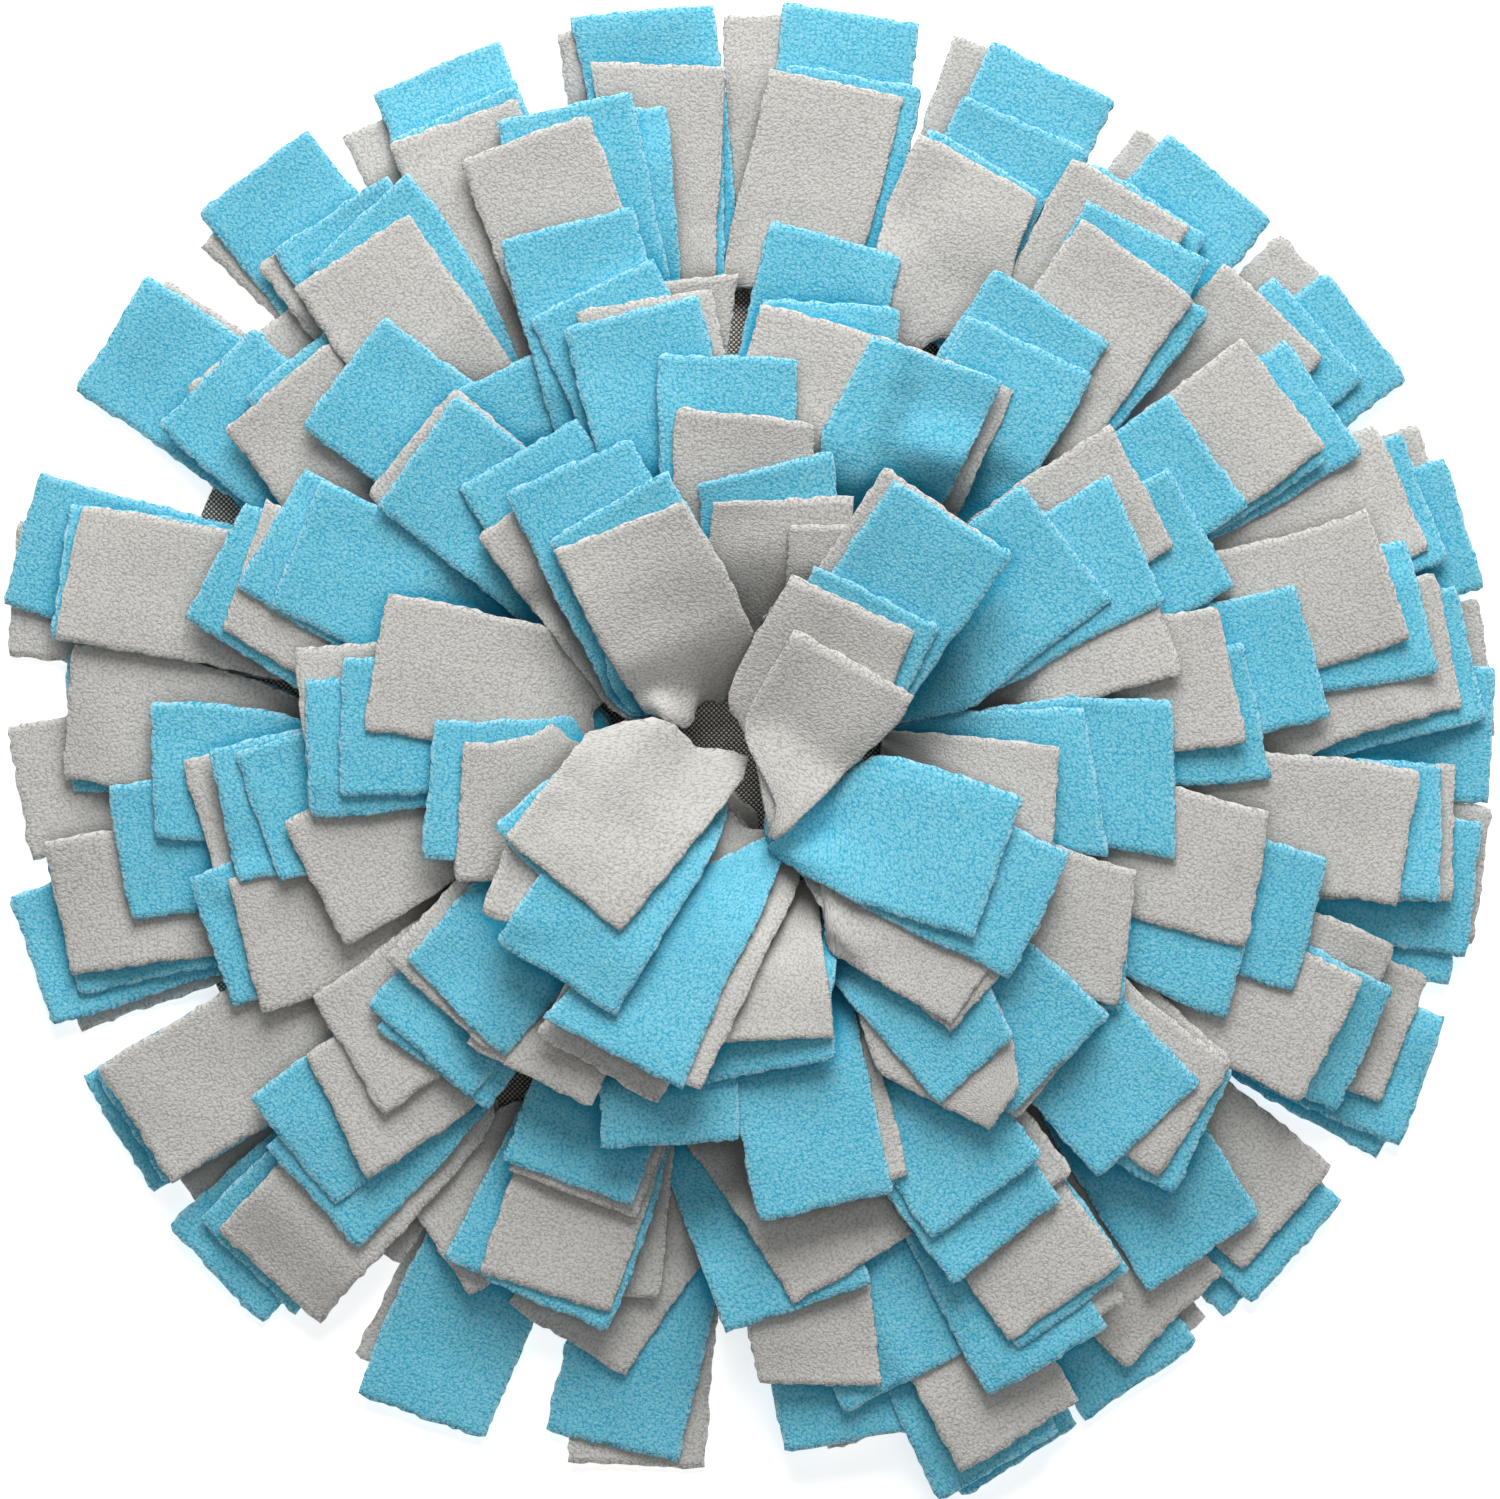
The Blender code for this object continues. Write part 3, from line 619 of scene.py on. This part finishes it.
class Pile:
    """The height of all cloth laid so far, on a square map of cells, in millimetres."""

    def __init__(self):
        middles = np.arange(-MAP_HALF, MAP_HALF, MAP_CELL)
        x, y = np.meshgrid(middles, middles, indexing="ij")
        self.top = np.where(np.hypot(x, y) < BACKING_RADIUS, BACKING_THICKNESS, 0.0)
        for _, _, bunch in all_bunches():
            east, north = (bunch.radius + KNOT_AHEAD) * heading(bunch.bearing)
            self.top[np.hypot(x - east, y - north) < KNOT_RADIUS] = KNOT_TOP

    def cells(self, place):
        """The map's cell numbers under places in plan."""
        cell = np.rint((place + MAP_HALF) / MAP_CELL).astype(int)
        return cell[..., 0], cell[..., 1]

    def lay(self, place, z):
        """The underside's heights, raised to span the pile like a tent, with rounded tops."""
        i, j = self.cells(place)
        held = widened(self.top[i, j] + CLOTH_GAP, 2, 0.0)
        tent = widened(held, TENT_REACH, TENT_SLOPE * GRID_STEP)
        z = np.maximum(CLOTH_GAP, z + blurred(np.maximum(0.0, tent - z), TENT_BLUR))
        steep = np.gradient(z, GRID_STEP, axis=0)
        thick = FLEECE_THICKNESS * np.minimum(MOST_THICKENED, np.hypot(1.0, steep))
        np.maximum.at(self.top, (i, j), z + thick)
        return z, thick


# Shader nodes


def new_group(name, inputs, outputs):
    """An empty shader node group with named float or vector sockets; gives its nodes and sockets."""
    group = bpy.data.node_groups.new(name, "ShaderNodeTree")
    for label, kind, value in inputs:
        socket = group.interface.new_socket(name=label, in_out="INPUT", socket_type=kind)
        if value is not None:
            socket.default_value = value
    for label, kind in outputs:
        group.interface.new_socket(name=label, in_out="OUTPUT", socket_type=kind)
    source = group.nodes.new("NodeGroupInput")
    sink = group.nodes.new("NodeGroupOutput")
    return group, source.outputs, sink.inputs


def node(tree, kind, settings=(), **sockets):
    """A node with its settings, and its sockets set to a value or linked from another socket."""
    made = tree.nodes.new(kind)
    for label, value in dict(settings).items():
        setattr(made, label, value)
    for label, value in sockets.items():
        key = int(label[1:]) if label[0] == "_" else label.replace("_", " ")
        target = made.inputs[key]
        if isinstance(value, bpy.types.NodeSocket):
            tree.links.new(value, target)
        else:
            target.default_value = value
    return made


def math_node(tree, operation, first, second=0.0, third=0.0):
    """The output of a Math node."""
    settings = {"operation": operation}
    return node(tree, "ShaderNodeMath", settings, _0=first, _1=second, _2=third).outputs[0]


def ramp(tree, value, low, high, to_low=0.0, to_high=1.0):
    """A value carried smoothly from one range to another."""
    return node(
        tree, "ShaderNodeMapRange", {"interpolation_type": "SMOOTHSTEP"}, Value=value,
        From_Min=low, From_Max=high, To_Min=to_low, To_Max=to_high).outputs["Result"]


def noise(tree, vector, scale, detail=2.0, roughness=0.5):
    """A fractal noise of a vector."""
    return node(
        tree, "ShaderNodeTexNoise", Vector=vector, Scale=scale, Detail=detail, Roughness=roughness)


def fleece_group():
    """Fleece pile: small curled nubs of fibre, uneven in size, with creases between them, which the
    material darkens as painted shade.

    A nub is one cell of a cell pattern, whose places are first shifted by a fractal noise so that
    no nub is round. It rises with the distance from the cell's border. A broad noise and a
    stronger fine one are added, so that some creases open wide and others close.
    """
    group, given, result = new_group(
        "fleece_pile",
        (("Flat Place", "NodeSocketVector", None), ("Nubs per Metre", "NodeSocketFloat", 640.0)),
        (("Height", "NodeSocketFloat"), ("Crease Shade", "NodeSocketFloat"), ("Tip Lint and Highlight", "NodeSocketFloat"),
         ("Mottle", "NodeSocketFloat")))
    flat, scale = given["Flat Place"], given["Nubs per Metre"]
    shift = noise(group, flat, math_node(group, "MULTIPLY", scale, 1.1), 3.0, 0.6).outputs["Color"]
    shift = node(
        group, "ShaderNodeVectorMath", {"operation": "MULTIPLY_ADD"},
        _0=shift, _1=NUB_BEND, _2=flat).outputs[0]
    border = node(
        group, "ShaderNodeTexVoronoi", {"feature": "DISTANCE_TO_EDGE", "voronoi_dimensions": "2D"},
        Vector=shift, Scale=scale).outputs["Distance"]
    broad = noise(group, flat, math_node(group, "MULTIPLY", scale, 0.5), 2.0, 0.6).outputs["Fac"]
    fine = noise(group, flat, math_node(group, "MULTIPLY", scale, 1.3), 2.0, 0.7).outputs["Fac"]
    height = math_node(group, "MULTIPLY", ramp(group, border, 0.0, 0.34), NUB_SHARE)
    height = math_node(group, "MULTIPLY_ADD", broad, BROAD_SHARE, height)
    height = math_node(group, "MULTIPLY_ADD", fine, FINE_SHARE, height)
    group.links.new(height, result["Height"])
    group.links.new(ramp(group, height, *CREASE_SHADE_HEIGHTS, 1.0, 0.0), result["Crease Shade"])
    group.links.new(ramp(group, height, *TIP_HEIGHTS), result["Tip Lint and Highlight"])
    group.links.new(noise(group, flat, MOTTLE_SCALE, 3.0).outputs["Fac"], result["Mottle"])
    return group


def colour_mix(tree, share, first, second):
    """A colour between two colours."""
    made = node(tree, "ShaderNodeMix", {"data_type": "RGBA"}, _0=share, _6=first, _7=second)
    return made.outputs[2]


def add_bump(tree, shader, height, strength, distance):
    """Bends a shader's normal by a height, whose full range stands for a distance in metres."""
    bump = node(tree, "ShaderNodeBump", Strength=strength, Distance=distance, Height=height)
    tree.links.new(bump.outputs[0], shader.inputs["Normal"])


def fleece_material(name, group, light, deep, crease_shade, lint_and_highlight, depth):
    """A fleece, mottled between light and deep, with lint and a painted highlight on its tips and cut
    edges.

    Its creases take the crease colour by the share depth, as painted shade, and so does cloth that lies
    deep beside other cloth, also as painted shade. The tufts of its cut edges mix lint and painted
    highlight with painted shade.
    """
    made = bpy.data.materials.new(name)
    made.use_nodes = True
    tree = made.node_tree
    shader = tree.nodes["Principled BSDF"]
    shader.inputs["Roughness"].default_value = 0.95
    shader.inputs["Specular IOR Level"].default_value = 0.1
    shader.inputs["Sheen Weight"].default_value = 0.1
    shader.inputs["Sheen Roughness"].default_value = 0.6
    shader.inputs["Sheen Tint"].default_value = lint_and_highlight
    flat = node(tree, "ShaderNodeUVMap", {"uv_map": "flat_cloth"}).outputs[0]
    pile = node(tree, "ShaderNodeGroup", {"node_tree": group})
    tree.links.new(flat, pile.inputs["Flat Place"])
    colour = colour_mix(tree, pile.outputs["Mottle"], light, deep)
    # Painted shade: the creases between the nubs take the crease colour.
    crease_shade_share = math_node(tree, "MULTIPLY", pile.outputs["Crease Shade"], depth)
    colour = colour_mix(tree, crease_shade_share, colour, crease_shade)
    # Lint and painted highlight: the highest parts of the nubs take the lint colour.
    tip_lint_and_highlight = math_node(tree, "MULTIPLY", pile.outputs["Tip Lint and Highlight"], TIP_LINT_AND_HIGHLIGHT)
    colour = colour_mix(tree, tip_lint_and_highlight, colour, lint_and_highlight)
    # Painted shade: cloth that lies deep beside other cloth takes the crease colour.
    painted_shade = node(tree, "ShaderNodeAttribute", {"attribute_name": "painted_shade_depth"}).outputs["Fac"]
    colour = colour_mix(tree, math_node(tree, "MULTIPLY", painted_shade, PAINTED_SHADE_SHARE), colour, crease_shade)
    # Lint with painted highlight and painted shade: the cut edges take tufts between the lint and crease
    # colours.
    rim = node(tree, "ShaderNodeAttribute", {"attribute_name": "cut_edge"}).outputs["Fac"]
    rim = math_node(tree, "MULTIPLY", math_node(tree, "POWER", rim, 3.0), EDGE_LINT_AND_HIGHLIGHT)
    tuft_shade_and_highlight = colour_mix(tree, ramp(tree, pile.outputs["Height"], *TUFT_HEIGHTS), crease_shade, lint_and_highlight)
    colour = colour_mix(tree, rim, colour, tuft_shade_and_highlight)
    tree.links.new(colour, shader.inputs["Base Color"])
    add_bump(tree, shader, pile.outputs["Height"], *FLEECE_BUMP)
    return made


def weave_group():
    """Plain weave. One set of threads runs along X and one along Y, each a row of rounded ridges.

    A checker of the thread numbers says which is on top. The top one's height is the product of
    its ridge and the crossing one's, so that it dives at both ends of each stitch.
    """
    group, given, result = new_group(
        "plain_weave",
        (("Place", "NodeSocketVector", None), ("Threads per Metre", "NodeSocketFloat", 1200.0)),
        (("Height", "NodeSocketFloat"), ("Along X", "NodeSocketFloat")))
    scaled = node(
        group, "ShaderNodeVectorMath", {"operation": "SCALE"},
        _0=given["Place"], Scale=given["Threads per Metre"])
    split = node(group, "ShaderNodeSeparateXYZ", _0=scaled.outputs[0])
    ridges, numbers = [], []
    for axis in (0, 1):
        value = split.outputs[axis]
        turned = math_node(group, "MULTIPLY", value, math.pi)
        ridges.append(math_node(group, "ABSOLUTE", math_node(group, "SINE", turned)))
        numbers.append(math_node(group, "FLOOR", value))
    odd = math_node(group, "PINGPONG", math_node(group, "ADD", numbers[0], numbers[1]), 1.0)
    height = math_node(group, "MULTIPLY", ridges[0], ridges[1])
    group.links.new(height, result["Height"])
    group.links.new(odd, result["Along X"])
    return group


def canvas_material():
    """Coarse canvas, with light threads one way and near-black ones the other."""
    made = bpy.data.materials.new("woven_canvas")
    made.use_nodes = True
    tree = made.node_tree
    shader = tree.nodes["Principled BSDF"]
    shader.inputs["Roughness"].default_value = 0.8
    place = node(tree, "ShaderNodeTexCoord").outputs["Object"]
    weave = node(tree, "ShaderNodeGroup", {"node_tree": weave_group()})
    tree.links.new(place, weave.inputs["Place"])
    thread = colour_mix(tree, weave.outputs["Along X"], DARK_THREAD, LIGHT_THREAD)
    dark = ramp(tree, weave.outputs["Height"], 0.0, 0.22)
    tree.links.new(colour_mix(tree, dark, BETWEEN_THREADS, thread), shader.inputs["Base Color"])
    add_bump(tree, shader, weave.outputs["Height"], *WEAVE_BUMP)
    return made


def turned_object(name, profile, flutes, place, finish):
    """A closed upright form: each level of the profile is a ring (radius, height).

    Around a ring the radius swells in sine waves, whose number and size in millimetres are flutes.
    They fade towards the middle.
    """
    waves, size = flutes
    sides = max(48, 8 * waves)
    angle = np.linspace(0.0, 2.0 * math.pi, sides, endpoint=False)
    radius, height = np.array(profile).T
    swell = size * np.sin(waves * angle) * np.minimum(1.0, radius / MIDDLE_RADIUS)[:, None]
    spread = radius[:, None] + swell
    level = np.broadcast_to(height[:, None], spread.shape)
    ring = np.stack((spread * np.cos(angle), spread * np.sin(angle), level), axis=-1)
    vertices = (ring.reshape(-1, 3) + (*place, 0.0)) * MM
    number = np.arange(len(vertices)).reshape(len(profile), sides)
    ahead = np.roll(number, -1, axis=1)
    walls = np.stack((number[:-1], ahead[:-1], ahead[1:], number[1:]), axis=-1).reshape(-1, 4)
    faces = [tuple(face) for face in walls.tolist()]
    faces += [tuple(number[0, ::-1].tolist()), tuple(number[-1].tolist())]
    mesh = bpy.data.meshes.new(name)
    mesh.from_pydata(vertices.tolist(), [], faces)
    layer = mesh.uv_layers.new(name="flat_cloth")
    around = np.broadcast_to(angle * PATTERN_RADIUS, spread.shape)
    pattern = np.stack((around, level), axis=-1).reshape(-1, 2) * MM
    index = np.empty(len(mesh.loops), dtype=int)
    mesh.loops.foreach_get("vertex_index", index)
    layer.data.foreach_set("uv", pattern[index].ravel())
    mesh.shade_smooth()
    mesh.materials.append(finish)
    return linked_object(name, mesh)


def laid_flaps():
    """All flaps as they lie, a ring at a time from the rim in, and in each ring a layer at a time."""
    order = []
    for ring, number, bunch in all_bunches():
        for layer in range(len(bunch.reaches)):
            name = f"{ring}_{number:02d}_flap_{layer + 1}"
            laid_ring, laid_layer = LAID_WITH.get(name, (ring, layer))
            order.append((list(RINGS).index(laid_ring), laid_layer, number, layer, ring, bunch))
    pile = Pile()
    flaps = []
    known = {}
    for _, _, number, layer, ring, bunch in sorted(order, key=lambda entry: entry[:4]):
        bunch_name = f"{ring}_{number:02d}"
        name = f"{bunch_name}_flap_{layer + 1}"
        if bunch_name not in known:
            known[bunch_name] = solid_vertices(bunch_name), {}
        row = bunch.reaches[layer], bunch.leans[layer], bunch.turns[layer]
        rng = np.random.default_rng([bunch.bearing, bunch.radius, layer])
        heights = solid_heights(*known[bunch_name], bunch, *row)
        fold, outline = FOLDS.get(bunch_name, PLAIN_FOLD), OUTLINES.get(name)
        place, z, offset = flap_surface(bunch, *row, fold, outline, heights, rng)
        z, thick = pile.lay(place, z)
        flaps.append((bunch_name, name, bunch.cloths[layer], place, z, thick, offset, rng))
    return pile, flaps


def add_flaps(finishes):
    """Makes each flap as it lies, and says what cloth it is cut from."""
    pile, flaps = laid_flaps()
    # Painted shade: how deep each point lies below the blurred pile around it.
    near, wide = blurred(pile.top, NEAR_PAINTED_SHADE[0]), blurred(pile.top, WIDE_PAINTED_SHADE[0])
    for bunch_name, name, cloth, place, z, thick, offset, rng in flaps:
        i, j = pile.cells(place)
        painted_shade = (near[i, j] - z - thick) / NEAR_PAINTED_SHADE[1] + (wide[i, j] - z - thick) / WIDE_PAINTED_SHADE[1]
        painted_shade = np.clip(painted_shade, 0.0, 1.0)
        lengths = lengths_along(place, z)
        flat = np.stack((offset, lengths), axis=-1) + rng.uniform(-PATTERN_SPREAD, PATTERN_SPREAD, 2)
        kept = [grid[::KEEP, ::KEEP] for grid in (place, z, thick, flat, painted_shade)]
        made = sheet_object(name, *kept, finishes[SLOTS[cloth]], rng)
        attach(made, "root")
        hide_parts(bunch_name)


def add_knots(finishes):
    """The gathered and stitched ends of each bunch, a low fluted button on the disc."""
    low, high = BACKING_THICKNESS, KNOT_TOP - CLOTH_GAP
    profile = ((0.5, low), (4.2, low), (4.6, low + 0.6), (4.1, high - 0.3), (2.4, high), (0.5, high))
    for ring, number, bunch in all_bunches():
        name = f"{ring}_{number:02d}"
        place = (bunch.radius + KNOT_AHEAD) * heading(bunch.bearing)
        slot = SLOTS[bunch.cloths[0]]
        made = turned_object(f"{name}_knot", profile, KNOT_FLUTES, place, finishes[slot])
        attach(made, "root")
        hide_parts(name)


def add_backing(finish):
    """The woven disc, with a slightly rounded edge."""
    edge = BACKING_RADIUS - BACKING_INSET - BACKING_EDGE
    out = edge + BACKING_EDGE
    low, high, top = 0.3 * BACKING_THICKNESS, 0.7 * BACKING_THICKNESS, BACKING_THICKNESS
    profile = ((1.0, 0.0), (edge, 0.0), (out, low), (out, high), (edge, top), (1.0, top))
    made = turned_object("backing_cloth", profile, (16, 0.0), BACKING_PLACE, finish)
    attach(made, "root")
    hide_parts("backing")


def area_light(name, place, size, power):
    """A large soft white light at a place, facing the middle of the mat."""
    data = bpy.data.lights.new(name, "AREA")
    data.shape = "DISK"
    data.size = size
    data.energy = power
    lamp = linked_object(name, data)
    lamp.location = place
    lamp.rotation_euler = (-Vector(place)).to_track_quat("-Z", "Y").to_euler()


def add_studio():
    """A pale floor, soft lights and a camera that looks straight down."""
    bpy.ops.mesh.primitive_plane_add(size=8.0, location=(0.0, 0.0, -0.0002))
    floor = bpy.context.object
    floor.name = "floor"
    paper = bpy.data.materials.new("pale_floor")
    paper.use_nodes = True
    shader = paper.node_tree.nodes["Principled BSDF"]
    shader.inputs["Base Color"].default_value = FLOOR_COLOUR
    shader.inputs["Roughness"].default_value = 0.9
    shader.inputs["Emission Color"].default_value = WHITE
    shader.inputs["Emission Strength"].default_value = FLOOR_GLOW
    paper.cycles.emission_sampling = "NONE"
    floor.data.materials.append(paper)
    world = bpy.data.worlds.new("studio")
    bpy.context.scene.world = world
    world.use_nodes = True
    sky = world.node_tree.nodes["Background"].inputs
    sky["Color"].default_value = WHITE
    sky["Strength"].default_value = SKY_STRENGTH
    area_light("window", *WINDOW)
    area_light("top_fill", *TOP_FILL)
    data = bpy.data.cameras.new("camera")
    data.lens = LENS
    data.sensor_width = SENSOR_WIDTH
    camera = linked_object("camera", data)
    camera.location = (0.0, VIEW_MIDDLE, VIEW_WIDTH * LENS / SENSOR_WIDTH + VIEW_HEIGHT)
    bpy.context.scene.camera = camera
    bpy.context.scene.view_settings.view_transform = "Standard"


def main():
    """Builds all pieces, then the studio."""
    pile_group = fleece_group()
    finishes = {
        slot: fleece_material(slot, pile_group, *looks) for slot, looks in FLEECES.items()}
    add_backing(canvas_material())
    add_knots(finishes)
    add_flaps(finishes)
    add_studio()


main()
